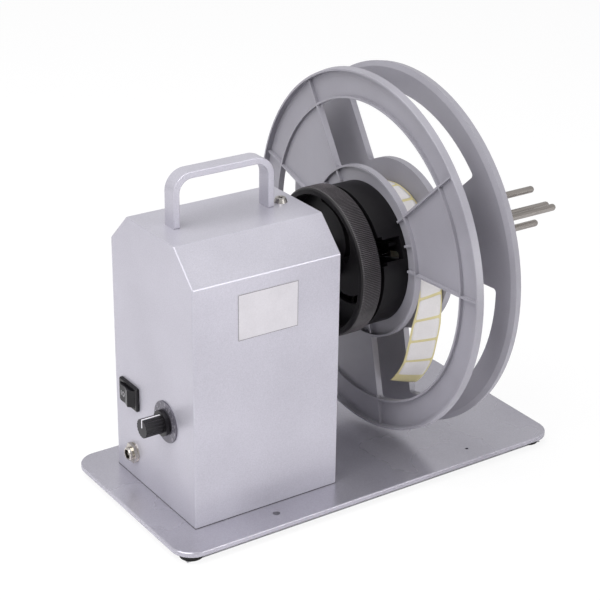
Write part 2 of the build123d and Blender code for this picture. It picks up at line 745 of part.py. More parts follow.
with BuildPart() as outer_flange:
    flange_blank(flange_gap_right, 1, outer_flange_window_radius)
    disc(flange_gap_right, flange_boss_right, flange_boss_radius)
    for angle in rod_angles:
        rod_slot(flange_gap_right, flange_gap_right + flange_disc_thick, angle)
        rod_slot(flange_gap_right + flange_disc_thick, flange_boss_right, angle)
    disc(flange_gap_right, flange_boss_right, rod_radius + running_gap, Mode.SUBTRACT)
    disc(bush_left, flange_boss_right, bush_radius, Mode.SUBTRACT)
keep(outer_flange, "outer_flange")

with BuildPart() as friction_bush:
    disc(bush_left, flange_boss_right, bush_radius - seat_gap)
    disc(bush_left, flange_boss_right, rod_radius + running_gap, Mode.SUBTRACT)
keep(friction_bush, "friction_bush")

# ---------------------------------------------------------------- label roll

with BuildPart() as label_core:
    disc(web_left, web_right, core_bore_radius + core_wall)
    disc(web_left, web_right, core_bore_radius, Mode.SUBTRACT)
keep(label_core, "label_core")

with BuildPart() as label_roll:
    disc(web_left, web_right, roll_radius)
    disc(web_left, web_right, core_bore_radius + core_wall + seat_gap, Mode.SUBTRACT)
keep(label_roll, "label_roll")

# the loose end leaves the roll at the top, falls in front of it and curls back at its tip,
# as (Y, Z) places from the spindle's line
tail_leaves_at = 112.0
tail_middle = [(-34.5, 22.5), (-45.5, 5.0), (-48.8, -13.0), (-46.8, -31.0), (-43.5, -47.5), (-38.5, -63.0)]
tail_tip = (-26.5, -79.0)
tail_tip_direction = (0.75, -0.66)
tail_points = [polar(roll_radius + web_thick / 2 + seat_gap, tail_leaves_at)] + tail_middle + [tail_tip]

tail_steps = 14


def tail_edge(middle_line, sideways):
    """Points beside the middle line of the loose end, at the same distance from it all the way."""
    points = []
    for step in range(tail_steps + 1):
        place = middle_line @ (step / tail_steps)
        along = middle_line % (step / tail_steps)
        points.append((place.X - sideways * along.Y, place.Y + sideways * along.X))
    return points


with BuildPart() as label_tail:
    with BuildSketch(across_axis(web_left)):
        with BuildLine():
            tail_ends = [polar(1.0, tail_leaves_at + 90.0), tail_tip_direction]
            middle_line = Spline(tail_points, tangents=tail_ends, mode=Mode.PRIVATE)
            roll_side = Spline(tail_edge(middle_line, web_thick / 2))
            outer_side = Spline(tail_edge(middle_line, -web_thick / 2))
            Line(roll_side @ 0, outer_side @ 0)
            Line(roll_side @ 1, outer_side @ 1)
        make_face()
    extrude(amount=web_right - web_left)
keep(label_tail, "label_tail")

# ---------------------------------------------------------------- power switch

bezel_thick = 2.0
rocker_opening = (17.0, 11.0)
rocker_half_width = 5.3
rocker_half_length = 8.2
rocker_pivot_x = case_left - bezel_thick + 1.5
rocker_pin_radius = 0.8
rocker_pin_length = 12.0
rocker_ridge_place = 4.9
rocker_ridge_height = 3.9
rocker_valley_height = 3.2
rocker_lean = -6.0
pocket_depth = 6.5
switch_body_depth = 15.0

with BuildPart() as switch_body:
    with BuildSketch(on_panel(switch_centre)):
        RectangleRounded(*bezel_size, 1.2)
    extrude(amount=bezel_thick)
    chamfer(switch_body.faces().sort_by(Axis.X)[0].edges(), length=0.6)
    with BuildSketch(on_panel(switch_centre)):
        Rectangle(*switch_body_size)
    extrude(amount=-switch_body_depth)
    with BuildSketch(on_panel(switch_centre, case_left - bezel_thick)):
        Rectangle(*rocker_opening)
    extrude(amount=-pocket_depth - bezel_thick, mode=Mode.SUBTRACT)
    pivot_plane = Plane(
        origin=(rocker_pivot_x, switch_centre[0], switch_centre[1] - rocker_pin_length / 2),
        z_dir=(0, 0, 1),
    )
    round_bar(pivot_plane, rocker_pin_radius + running_gap, rocker_pin_length, Mode.SUBTRACT)
    for side in (-5.0, 5.0):
        with BuildSketch(on_panel(switch_centre, case_left + switch_body_depth)):
            with Locations((side, 0)):
                Rectangle(0.8, 6.3)
        extrude(amount=-8.0)
keep(switch_body, "switch_body")

# the rocker's outline seen from above, with its pivot at the origin: local x is +Y, local y points out
rocker_plane = Plane(
    origin=(rocker_pivot_x, switch_centre[0], switch_centre[1] - rocker_half_width),
    x_dir=(0, 1, 0),
    z_dir=(0, 0, 1),
)

with BuildPart() as rocker:
    with BuildSketch(rocker_plane.rotated((0, 0, rocker_lean))):
        with BuildLine():
            Polyline(
                (-rocker_half_length, 0.3),
                (-rocker_ridge_place, rocker_ridge_height),
                (0, rocker_valley_height),
                (rocker_ridge_place, rocker_ridge_height),
                (rocker_half_length, 0.3),
                (3.0, -3.4),
                (-3.0, -3.4),
                close=True,
            )
        make_face()
    extrude(amount=2 * rocker_half_width)
    round_bar(pivot_plane.offset(face_gap), rocker_pin_radius, rocker_pin_length - 2 * face_gap)
keep(rocker, "rocker")

# ---------------------------------------------------------------- speed control

dial_radius = 12.35
dial_thick = 0.8
pot_body_radius = 8.0
pot_body_depth = 9.0
bushing_reach = 4.5
pot_shaft_radius = 3.0
pot_shaft_reach = 13.0
pot_bore_end = case_left + sheet_thick + pot_body_depth - 3.0
pot_shaft_inner_end = pot_bore_end - 0.2
pot_shaft_length = pot_shaft_inner_end - case_left + pot_shaft_reach
knob_gap = 0.8
knob_length = 14.1
knob_skirt_radius = 7.6
knob_skirt_height = 2.4
knob_radius = 5.6
knob_flutes = 18
flute_radius = 0.7
nut_pocket_radius = 6.4
nut_pocket_depth = 1.8
bushing_pocket_depth = 4.6
pointer_width = 1.0
pointer_depth = 0.5
dial_face = case_left - dial_thick
knob_back = dial_face - knob_gap
knob_front = knob_back - knob_length

with BuildPart() as dial_plate:
    round_bar(on_panel(dial_centre), dial_radius, dial_thick)
    round_bar(on_panel(dial_centre), bushing_radius + 0.1, dial_thick, Mode.SUBTRACT)
keep(dial_plate, "dial_plate")

with BuildPart() as potentiometer:
    inside = case_left + sheet_thick
    round_bar(on_panel(dial_centre, inside), pot_body_radius, -pot_body_depth)
    round_bar(on_panel(dial_centre, inside), bushing_radius, sheet_thick + bushing_reach)
    bore_plane = on_panel(dial_centre, pot_bore_end)
    round_bar(bore_plane, pot_shaft_radius + running_gap, pot_body_depth + bushing_reach, Mode.SUBTRACT)
    with BuildSketch(on_panel(dial_centre, inside + 2.0)):
        for side in (-5.0, 0.0, 5.0):
            with Locations((side, -10.0)):
                Rectangle(1.2, 8.0)
    extrude(amount=-0.8)
keep(potentiometer, "potentiometer")

with BuildPart() as pot_nut:
    with BuildSketch(on_panel(dial_centre, dial_face)):
        RegularPolygon(5.0, 6, major_radius=False)
        Circle(bushing_radius + seat_gap, mode=Mode.SUBTRACT)
    extrude(amount=2.2)
keep(pot_nut, "pot_nut")

with BuildPart() as pot_shaft:
    round_bar(on_panel(dial_centre, pot_shaft_inner_end), pot_shaft_radius, pot_shaft_length)
keep(pot_shaft, "pot_shaft")

with BuildPart() as speed_knob:
    round_bar(on_panel(dial_centre, knob_back), knob_skirt_radius, knob_skirt_height)
    with BuildSketch(on_panel(dial_centre, knob_back)):
        Circle(knob_radius)
        with PolarLocations(knob_radius + flute_radius / 2, knob_flutes):
            Circle(flute_radius, mode=Mode.SUBTRACT)
    extrude(amount=knob_length)
    back_plane = on_panel(dial_centre, knob_back)
    round_bar(back_plane, nut_pocket_radius, nut_pocket_depth, Mode.SUBTRACT)
    round_bar(back_plane, bushing_radius + 0.4, bushing_pocket_depth, Mode.SUBTRACT)
    round_bar(back_plane, pot_shaft_radius + seat_gap, pot_shaft_reach, Mode.SUBTRACT)
    with BuildSketch(on_panel(dial_centre, knob_front)):
        with Locations((0, knob_radius / 2)):
            Rectangle(pointer_width + 0.1, knob_radius)
    extrude(amount=-pointer_depth, mode=Mode.SUBTRACT)
    with BuildSketch(on_panel(dial_centre, knob_front)):
        with Locations((0, knob_radius)):
            Rectangle(pointer_width + 0.1, 2 * pointer_depth)
    extrude(amount=knob_skirt_height - knob_length, mode=Mode.SUBTRACT)
keep(speed_knob, "speed_knob")

pointer_thick = pointer_depth - 0.02
pointer_top = knob_radius - 0.02

with BuildPart() as knob_pointer:
    with BuildSketch(on_panel(dial_centre, knob_front)):
        with Locations((0, pointer_top)):
            Rectangle(pointer_width, knob_radius - 0.3, align=(Align.CENTER, Align.MAX))
    extrude(amount=-pointer_thick)
    with BuildSketch(on_panel(dial_centre, knob_front)):
        with Locations((0, pointer_top)):
            Rectangle(pointer_width, pointer_thick - 0.02, align=(Align.CENTER, Align.MAX))
    extrude(amount=knob_skirt_height - knob_length + 0.02)
keep(knob_pointer, "knob_pointer")

# ---------------------------------------------------------------- power inlet

inlet_reach = 5.2
inlet_bore_radius = 2.8
inlet_pin_radius = 1.0
inlet_depth = 12.0

with BuildPart() as power_inlet:
    round_bar(on_panel(inlet_centre, case_left + sheet_thick), inlet_radius, sheet_thick + inlet_reach)
    chamfer(power_inlet.faces().sort_by(Axis.X)[0].edges(), length=0.5)
    round_bar(on_panel(inlet_centre, case_left + sheet_thick), 5.5, -inlet_depth)
    round_bar(on_panel(inlet_centre, case_left - inlet_reach), inlet_bore_radius, -11.0, Mode.SUBTRACT)
    round_bar(on_panel(inlet_centre, case_left - inlet_reach + 1.0), inlet_pin_radius, -10.5)
keep(power_inlet, "power_inlet")

with BuildPart() as inlet_washer:
    round_bar(on_panel(inlet_centre), 6.0, 0.6)
    round_bar(on_panel(inlet_centre), inlet_radius + seat_gap, 0.6, Mode.SUBTRACT)
keep(inlet_washer, "inlet_washer")

with BuildPart() as inlet_nut:
    with BuildSketch(on_panel(inlet_centre, case_left - 0.6)):
        RegularPolygon(5.5, 6, major_radius=False)
        Circle(inlet_radius + seat_gap, mode=Mode.SUBTRACT)
    extrude(amount=2.2)
keep(inlet_nut, "inlet_nut")

# ---------------------------------------------------------------- motor speed board

board_thick = 1.6
board_top = board_z + board_thick
board_middle = (board_corner[0] + board_size[0] / 2, board_corner[1] + board_size[1] / 2)

with BuildPart() as control_board:
    with BuildSketch(Plane.XY.offset(board_z)):
        with Locations(board_middle):
            Rectangle(*board_size)
        with Locations(standoff_places):
            Circle(screw_hole_radius, mode=Mode.SUBTRACT)
    extrude(amount=board_thick)
keep(control_board, "control_board")

with BuildPart() as board_standoffs:
    with BuildSketch(Plane.XY.offset(plate_top)):
        with Locations(standoff_places):
            RegularPolygon(2.75, 6, major_radius=False)
            Circle(screw_radius + seat_gap, mode=Mode.SUBTRACT)
    extrude(amount=board_z - plate_top)
keep(board_standoffs, "board_standoffs")

with BuildPart() as board_screws:
    for x, y in standoff_places:
        pan_screw(Plane(origin=(x, y, board_top), z_dir=(0, 0, 1)), 2.8, 2.0, screw_radius, 6.0)
keep(board_screws, "board_screws")

with BuildPart() as capacitor:
    can_plane = Plane(origin=(board_middle[0] + 10.0, board_middle[1] + 8.0, board_top), z_dir=(0, 0, 1))
    round_bar(can_plane, 5.0, 16.0)
    fillet(capacitor.faces().sort_by(Axis.Z)[-1].edges(), radius=0.8)
keep(capacitor, "capacitor")

terminal_x = board_middle[0] - 12.0
terminal_height = 10.0

with BuildPart() as terminal_block:
    with BuildSketch(Plane.XY.offset(board_top)):
        with Locations((terminal_x, board_middle[1])):
            Rectangle(9.0, 22.0)
    extrude(amount=terminal_height)
    with BuildSketch(Plane.XY.offset(board_top + terminal_height)):
        with Locations((terminal_x, board_middle[1])):
            with GridLocations(0, 5.0, 1, 4):
                Circle(1.7)
    extrude(amount=-1.5, mode=Mode.SUBTRACT)
keep(terminal_block, "terminal_block")

with BuildPart() as heat_sink:
    with BuildSketch(Plane.XY.offset(board_top)):
        with Locations((board_middle[0] + 3.0, board_middle[1] - 12.0)):
            Rectangle(20.0, 2.0)
            with GridLocations(3.6, 0, 6, 1):
                Rectangle(1.2, 12.0)
    extrude(amount=22.0)
keep(heat_sink, "heat_sink")
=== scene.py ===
"""Looks of the bench label rewinder: paint, moulded flanges, knurled ring, label web and small print.

Metres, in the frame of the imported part: +Z up, +X along the spindle from the case to the reel.
"""

import bpy
import numpy as np
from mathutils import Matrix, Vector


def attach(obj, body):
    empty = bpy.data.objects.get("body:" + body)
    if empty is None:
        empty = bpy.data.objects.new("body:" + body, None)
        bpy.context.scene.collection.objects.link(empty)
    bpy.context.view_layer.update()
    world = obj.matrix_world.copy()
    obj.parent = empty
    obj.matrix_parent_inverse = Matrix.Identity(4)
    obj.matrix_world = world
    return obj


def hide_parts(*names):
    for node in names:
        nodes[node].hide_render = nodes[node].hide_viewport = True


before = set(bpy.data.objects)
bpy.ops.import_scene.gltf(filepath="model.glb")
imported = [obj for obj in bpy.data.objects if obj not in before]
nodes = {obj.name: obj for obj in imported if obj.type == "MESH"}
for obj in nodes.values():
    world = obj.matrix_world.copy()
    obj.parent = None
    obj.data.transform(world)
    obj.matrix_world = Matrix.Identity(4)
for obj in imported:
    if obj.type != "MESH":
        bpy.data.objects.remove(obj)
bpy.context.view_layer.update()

# ---------------------------------------------------------------- the object's own sizes, in metres

MM = 0.001
AXIS_Z = 129.2 * MM
CASE_LEFT = -134.5 * MM
CASE_FRONT = -45.0 * MM
RING_LEFT = -22.9 * MM
RING_RADIUS = 44.2 * MM
WEB_LEFT = 13.4 * MM
WEB_RIGHT = 32.6 * MM
ROLL_RADIUS = 38.5 * MM
SWITCH = (27.2 * MM, 62.2 * MM)
DIAL = (-14.2 * MM, 62.6 * MM)
PLATE_TOP = 8.0 * MM
PLATE_CENTRE = (-21.5 * MM, -1.2 * MM)
CASE_SIZE = (95.4 * MM, 90.0 * MM)
NAME_PLATE_CENTRE = (-86.6 * MM, 131.3 * MM)
NAME_PLATE_SIZE = (39.1 * MM, 27.4 * MM)
# height of the dark strip painted as the shade in the gap under the case's sheet
PAINTED_SHADE_HEIGHT = 0.45 * MM


# ---------------------------------------------------------------- mesh helpers


def make_piece(name, points, faces, body, material, smooth=True):
    """A mesh from an (n, 3) array of points and a (m, 4) or (m, 3) array of corner numbers, riding on a body."""
    mesh = bpy.data.meshes.new(name)
    mesh.from_pydata(points.tolist(), [], faces.tolist())
    mesh.validate()
    mesh.polygons.foreach_set("use_smooth", np.full(len(mesh.polygons), smooth))
    mesh.update()
    piece = bpy.data.objects.new(name, mesh)
    bpy.context.scene.collection.objects.link(piece)
    mesh.materials.append(material)
    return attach(piece, body)


def grid_faces(rows, columns, start=0, around=False):
    """Corner numbers of the four-sided cells of a rows by columns grid of points; around joins the last column
    to the first."""
    row, column = np.meshgrid(np.arange(rows - 1), np.arange(columns if around else columns - 1), indexing="ij")
    next_column = (column + 1) % columns
    corners = [row * columns + column, row * columns + next_column, (row + 1) * columns + next_column,
               (row + 1) * columns + column]
    return start + np.stack(corners, axis=-1).reshape(-1, 4)


def thicken(piece, thickness, offset=-1.0):
    """Gives a sheet its real thickness."""
    wall = piece.modifiers.new("thickness", "SOLIDIFY")
    wall.thickness = thickness
    wall.offset = offset
    return piece


# ---------------------------------------------------------------- materials


def linear(code):
    """Linear colour from sRGB hex: c / 12.92 up to 0.04045, and ((c + 0.055) / 1.055) to the power 2.4 above."""
    channels = np.array([int(code[place : place + 2], 16) for place in (1, 3, 5)]) / 255.0
    bright = ((channels + 0.055) / 1.055) ** 2.4
    return (*np.where(channels <= 0.04045, channels / 12.92, bright).tolist(), 1.0)


def add_node(tree, kind, inputs=None, **settings):
    """Adds a node with its own settings; each input is linked if it is a socket, and set if it is a value."""
    made = tree.nodes.new(kind)
    for name, value in settings.items():
        setattr(made, name, value)
    for key, value in (inputs or {}).items():
        if isinstance(value, bpy.types.NodeSocket):
            tree.links.new(value, made.inputs[key])
        else:
            made.inputs[key].default_value = value
    return made


def new_material(name, roughness, metallic=0.0, ior=None, coat=0.0, coat_roughness=0.1):
    """A principled material with its plain values set; returns it with its tree, shader and Object coordinates."""
    material = bpy.data.materials.new(name)
    material.use_nodes = True
    tree = material.node_tree
    shader = tree.nodes["Principled BSDF"]
    shader.inputs["Roughness"].default_value = roughness
    shader.inputs["Metallic"].default_value = metallic
    shader.inputs["Coat Weight"].default_value = coat
    shader.inputs["Coat Roughness"].default_value = coat_roughness
    if ior is not None:
        shader.inputs["IOR"].default_value = ior
    place = add_node(tree, "ShaderNodeTexCoord").outputs["Object"]
    return material, tree, shader, place


def dress(tree, shader, tone, dark, light, height, depth, rounding=0.0):
    """Colours the surface from one hex to another as a tone goes from 0.3 to 0.7, and roughens it by a bump of a
    real depth in metres; sharp edges are shaded round by the given radius if it isn't zero."""
    share = add_node(tree, "ShaderNodeMapRange", {"Value": tone, "From Min": 0.3, "From Max": 0.7})
    colour = add_node(tree, "ShaderNodeMix", {0: share.outputs["Result"], 6: linear(dark), 7: linear(light)},
                      data_type="RGBA")
    tree.links.new(colour.outputs[2], shader.inputs["Base Color"])
    bump = add_node(tree, "ShaderNodeBump", {"Height": height, "Strength": 1.0, "Distance": depth})
    if rounding > 0.0:
        soft = add_node(tree, "ShaderNodeBevel", {"Radius": rounding}, samples=4)
        tree.links.new(soft.outputs["Normal"], bump.inputs["Normal"])
    tree.links.new(bump.outputs["Normal"], shader.inputs["Normal"])


def powder_coat(name, dark, light, roughness=0.36, metallic=0.35, peel_depth=0.008 * MM):
    """Silver powder coat over folded steel: satin, with a fine metallic grain and a faint orange peel."""
    material, tree, shader, place = new_material(name, roughness, metallic=metallic)
    # metallic grains are about 0.1 mm; they are drawn at 0.7 mm, the finest that shows
    grain = add_node(tree, "ShaderNodeTexNoise", {"Vector": place, "Scale": 1 / (0.7 * MM), "Detail": 2.0})
    drift = add_node(tree, "ShaderNodeTexNoise", {"Vector": place, "Scale": 1 / (60 * MM), "Detail": 3.0})
    tone = add_node(tree, "ShaderNodeMix", {"Factor": 0.5, "A": grain.outputs["Fac"], "B": drift.outputs["Fac"]})
    rubbed = add_node(tree, "ShaderNodeMapRange", {
        "Value": drift.outputs["Fac"], "From Min": 0.1, "From Max": 0.9,
        "To Min": roughness - 0.09, "To Max": roughness + 0.11})
    tree.links.new(rubbed.outputs["Result"], shader.inputs["Roughness"])
    # orange peel: waves about 2.5 mm long
    peel = add_node(tree, "ShaderNodeTexNoise", {"Vector": place, "Scale": 1 / (2.5 * MM), "Detail": 1.0})
    dress(tree, shader, tone.outputs["Result"], dark, light, peel.outputs["Fac"], peel_depth, 0.35 * MM)
    return material


def moulded(name, dark, light, roughness, grain=0.5 * MM, depth=0.02 * MM, rounding=0.3 * MM, coat=0.0, ior=1.5):
    """Injection moulded plastic: spark-eroded grain, slow flow shading and softly rounded edges."""
    material, tree, shader, place = new_material(name, roughness, ior=ior, coat=coat, coat_roughness=0.15)
    flow = add_node(tree, "ShaderNodeTexNoise", {"Vector": place, "Scale": 1 / (35 * MM), "Detail": 4.0})
    pits = add_node(tree, "ShaderNodeTexNoise", {"Vector": place, "Scale": 1 / grain, "Detail": 2.0})
    tone = add_node(tree, "ShaderNodeMix", {"Factor": 0.4, "A": flow.outputs["Fac"], "B": pits.outputs["Fac"]})
    handled = add_node(tree, "ShaderNodeMapRange", {
        "Value": flow.outputs["Fac"], "From Min": 0.1, "From Max": 0.9,
        "To Min": roughness - 0.11, "To Max": roughness + 0.13})
    tree.links.new(handled.outputs["Result"], shader.inputs["Roughness"])
    dress(tree, shader, tone.outputs["Result"], dark, light, pits.outputs["Fac"], depth, rounding)
    return material


def worked_metal(name, dark, light, roughness, stretch=(1.0, 1.0, 1.0), line=0.4 * MM, depth=0.006 * MM):
    """Metal with the marks of how it was made: fine lines, long where stretch is small and close where it is 1."""
    material, tree, shader, place = new_material(name, roughness, metallic=1.0)
    turned = add_node(tree, "ShaderNodeMapping", {"Vector": place, "Scale": stretch})
    lines = add_node(tree, "ShaderNodeTexNoise", {
        "Vector": turned.outputs["Vector"], "Scale": 1 / line, "Detail": 3.0})
    stain = add_node(tree, "ShaderNodeTexNoise", {"Vector": turned.outputs["Vector"], "Scale": 1 / (6 * MM)})
    tone = add_node(tree, "ShaderNodeMix", {"Factor": 0.4, "A": lines.outputs["Fac"], "B": stain.outputs["Fac"]})
    dulled = add_node(tree, "ShaderNodeMapRange", {
        "Value": stain.outputs["Fac"], "From Min": 0.1, "From Max": 0.9,
        "To Min": roughness - 0.07, "To Max": roughness + 0.11})
    tree.links.new(dulled.outputs["Result"], shader.inputs["Roughness"])
    dress(tree, shader, tone.outputs["Result"], dark, light, lines.outputs["Fac"], depth, 0.15 * MM)
    return material


def paper(name, dark, light, roughness=0.55, fibre=0.8 * MM):
    """Coated paper: nearly even, with faint fibre clouds and a soft sheen."""
    material, tree, shader, place = new_material(name, roughness, ior=1.45)
    clouds = add_node(tree, "ShaderNodeTexNoise", {"Vector": place, "Scale": 1 / fibre, "Detail": 4.0})
    slow = add_node(tree, "ShaderNodeTexNoise", {"Vector": place, "Scale": 1 / (12 * MM), "Detail": 2.0})
    tone = add_node(tree, "ShaderNodeMix", {"Factor": 0.5, "A": clouds.outputs["Fac"], "B": slow.outputs["Fac"]})
    dress(tree, shader, tone.outputs["Result"], dark, light, clouds.outputs["Fac"], 0.01 * MM)
    return material


def wound_edge(name, dark, light, pitch=0.45 * MM):
    """Side of a wound roll: rings of paper edges about the spindle. Real turns are 0.15 mm apart; they are drawn
    0.45 mm apart so that they show."""
    material, tree, shader, place = new_material(name, 0.7)
    centred = add_node(tree, "ShaderNodeMapping", {"Vector": place, "Location": (0.0, 0.0, -AXIS_Z)})
    parts = add_node(tree, "ShaderNodeSeparateXYZ", {"Vector": centred.outputs["Vector"]})
    flat = add_node(tree, "ShaderNodeCombineXYZ", {"X": 0.0, "Y": parts.outputs["Y"], "Z": parts.outputs["Z"]})
    radius = add_node(tree, "ShaderNodeVectorMath", {0: flat.outputs["Vector"]}, operation="LENGTH")
    turns = add_node(tree, "ShaderNodeMath", {0: radius.outputs["Value"], 1: 2 * np.pi / pitch},
                     operation="MULTIPLY")
    wave = add_node(tree, "ShaderNodeMath", {0: turns.outputs["Value"]}, operation="SINE")
    height = add_node(tree, "ShaderNodeMapRange", {"Value": wave.outputs["Value"], "From Min": -1.0})
    fuzz = add_node(tree, "ShaderNodeTexNoise", {"Vector": place, "Scale": 1 / (1.5 * MM), "Detail": 3.0})
    tone = add_node(tree, "ShaderNodeMix", {"Factor": 0.4, "A": height.outputs["Result"], "B": fuzz.outputs["Fac"]})
    dress(tree, shader, tone.outputs["Result"], dark, light, height.outputs["Result"], 0.03 * MM)
    return material


case_paint = powder_coat("silver_powder_coat", "#adabb5", "#c3c1cb", 0.32)
plate_paint = powder_coat("silver_coat_on_flat_plate", "#a9a7b1", "#bfbdc7", 0.24, 0.6)
flange_plastic = moulded("grey_moulded_abs", "#918f97", "#9f9da6", 0.42)
ring_plastic = moulded("black_glass_filled_nylon", "#0b0a0c", "#1b181c", 0.42, grain=1.3 * MM, depth=0.05 * MM,
                       ior=1.34)
hub_plastic = moulded("black_moulded_nylon", "#08070a", "#121013", 0.45, grain=0.7 * MM, depth=0.03 * MM, ior=1.3)
knob_plastic = moulded("satin_black_abs", "#0c0a0e", "#161318", 0.34, ior=1.4)
switch_plastic = moulded("polished_black_nylon", "#0a090d", "#121015", 0.28, ior=1.4)
feet_rubber = moulded("black_rubber", "#111111", "#232323", 0.8, grain=0.6 * MM, depth=0.05 * MM)
rod_steel = worked_metal("ground_stainless_steel", "#8a8480", "#b3aeaa", 0.22, (0.03, 1.0, 1.0))
screw_steel = worked_metal("zinc_plated_steel", "#8f8b88", "#c8c4c0", 0.26)
bearing_steel = worked_metal("polished_bearing_steel", "#a5a5a8", "#d5d5d8", 0.18)
motor_steel = worked_metal("drawn_motor_steel", "#8a8b8e", "#b2b3b6", 0.35, (0.05, 1.0, 1.0))
nickel = worked_metal("bright_nickel_plate", "#a9a49c", "#dcd7cf", 0.14)
cast_aluminium = worked_metal("turned_aluminium", "#a6a8ab", "#cfd0d2", 0.36, (1.0, 0.1, 0.1))
brass = worked_metal("plain_brass", "#a5873f", "#d4b86a", 0.3)
label_film = paper("white_label_film", "#c6c3c8", "#d2cfd4", 0.35)
label_face = paper("white_label_paper", "#d9d6d6", "#e4e1e1", 0.5)
liner_face = paper("yellow_glassine_liner", "#cfc38c", "#ddd3a4", 0.38)
roll_side = wound_edge("wound_label_edges", "#b9ae86", "#eeeade")
core_card = paper("dark_grey_core_board", "#4f4a44", "#615b54", 0.8)
# the dial's satin grey face is mixed in the way of the case's coat, darker
dial_face = powder_coat("dark_anodised_aluminium", "#5b5962", "#6d6a75", 0.3, 0.3)
white_print = paper("white_screen_print", "#dcdadf", "#eceaef", 0.5)
dark_print = paper("dark_edge_line", "#5d5b62", "#77757c", 0.5)
dial_ink = paper("pale_grey_ink", "#bdbac2", "#cfccd3", 0.5)
solder_mask = moulded("green_solder_mask", "#12462a", "#1d5a38", 0.3, coat=0.4)
can_sleeve = moulded("blue_black_sleeve", "#15182b", "#20243c", 0.3, coat=0.3)
green_nylon = moulded("green_terminal_nylon", "#1c6b35", "#2b8347", 0.45)
seal_rubber = moulded("dark_seal_rubber", "#141416", "#222226", 0.6, grain=0.5 * MM)
# the gap under the case's sheet is in shade, so a dark strip stands for it
seam_shade = moulded("shaded_gap", "#3d3b42", "#49474e", 0.7)
trimmer_steel = worked_metal("pressed_control_steel", "#8f9093", "#bdbec0", 0.34)

painted = {
    case_paint: "case_shell carry_handle bearing_wall",
    plate_paint: "base_plate",
    flange_plastic: "inner_flange outer_flange",
    ring_plastic: "scroll_ring",
    hub_plastic: "hub_body rod_carrier_1 rod_carrier_2 rod_carrier_3",
    knob_plastic: "speed_knob",
    switch_plastic: "switch_body rocker",
    feet_rubber: "rubber_feet friction_bush",
    rod_steel: "spindle rod_1 rod_2 rod_3 output_shaft",
    screw_steel: "foot_screws plate_screws handle_screws top_screw bearing_screws motor_screws coupling_screws "
    "hub_set_screw flange_screws board_screws",
    bearing_steel: "bearing_outer bearing_inner ring_clip",
    motor_steel: "motor_can motor_bracket",
    trimmer_steel: "potentiometer",
    nickel: "pot_nut power_inlet inlet_washer inlet_nut",
    cast_aluminium: "gearbox bearing_housing shaft_coupling heat_sink",
    brass: "pot_shaft board_standoffs",
    label_film: "name_plate",
    core_card: "label_core",
    dial_face: "dial_plate",
    white_print: "knob_pointer",
    solder_mask: "control_board",
    can_sleeve: "capacitor",
    green_nylon: "terminal_block",
    roll_side: "label_roll",
    liner_face: "label_tail",
}
for material, names in painted.items():
    for name in names.split():
        mesh = nodes[name].data
        mesh.materials.clear()
        mesh.materials.append(material)

# ---------------------------------------------------------------- knurled grip of the scroll ring

KNURL_COUNT = 260
KNURL_WIDTH = 12.2 * MM


def knurled_band():
    """Band about the spindle at radius r = R + h * edge(x) * (0.5 + 0.5 cos(count * angle)), where edge rises from
    0 to 1 over the first millimetre at each side, so that the ridges end before the ring's rounded rims."""
    across = np.array([0.0, 0.25, 0.5, 0.75, 1.0])
    across = np.concatenate([across * 1.0 * MM, [KNURL_WIDTH / 2], KNURL_WIDTH - across[::-1] * 1.0 * MM])
    angle = np.linspace(0.0, 2 * np.pi, KNURL_COUNT * 6, endpoint=False)
    edge = np.clip(np.minimum(across, across[-1] - across) / (0.8 * MM), 0.0, 1.0)
    rise = 0.05 * MM + 0.6 * MM * edge[:, None] * (0.5 + 0.5 * np.cos(KNURL_COUNT * angle))[None, :]
    radius = RING_RADIUS + rise - 0.1 * MM * (edge[:, None] < 0.01)
    x = RING_LEFT + 0.9 * MM + across[:, None] + 0.0 * angle[None, :]
    points = np.stack([x, radius * np.cos(angle), AXIS_Z + radius * np.sin(angle)], axis=-1)
    return points.reshape(-1, 3), grid_faces(len(across), len(angle), around=True)[:, ::-1]


def rubbed_ridges():
    """Black nylon whose ridge tops are rubbed paler by hands, in patches about 8 mm wide."""
    material, tree, shader, place = new_material("black_nylon_rubbed_ridges", 0.42, ior=1.5)
    parts = add_node(tree, "ShaderNodeSeparateXYZ", {"Vector": place})
    above = add_node(tree, "ShaderNodeMath", {0: parts.outputs["Z"], 1: AXIS_Z}, operation="SUBTRACT")
    angle = add_node(tree, "ShaderNodeMath", {0: above.outputs["Value"], 1: parts.outputs["Y"]}, operation="ARCTAN2")
    turns = add_node(tree, "ShaderNodeMath", {0: angle.outputs["Value"], 1: float(KNURL_COUNT)},
                     operation="MULTIPLY")
    wave = add_node(tree, "ShaderNodeMath", {0: turns.outputs["Value"]}, operation="COSINE")
    ridge = add_node(tree, "ShaderNodeMapRange", {"Value": wave.outputs["Value"], "From Min": -0.2, "To Min": 0.3,
                                                  "To Max": 0.7})
    patches = add_node(tree, "ShaderNodeTexNoise", {"Vector": place, "Scale": 1 / (8 * MM), "Detail": 4.0})
    scuff = add_node(tree, "ShaderNodeMapRange", {"Value": patches.outputs["Fac"], "From Min": 0.35, "From Max": 0.65,
                                                  "To Min": 0.35, "To Max": 1.0})
    tone = add_node(tree, "ShaderNodeMix", {"Factor": scuff.outputs["Result"], "A": 0.35,
                                            "B": ridge.outputs["Result"]})
    dress(tree, shader, tone.outputs["Result"], "#141114", "#585357", patches.outputs["Fac"], 0.03 * MM)
    return material


grip = make_piece("scroll_ring_grip", *knurled_band(), "scroll_ring", rubbed_ridges())

# ---------------------------------------------------------------- label web

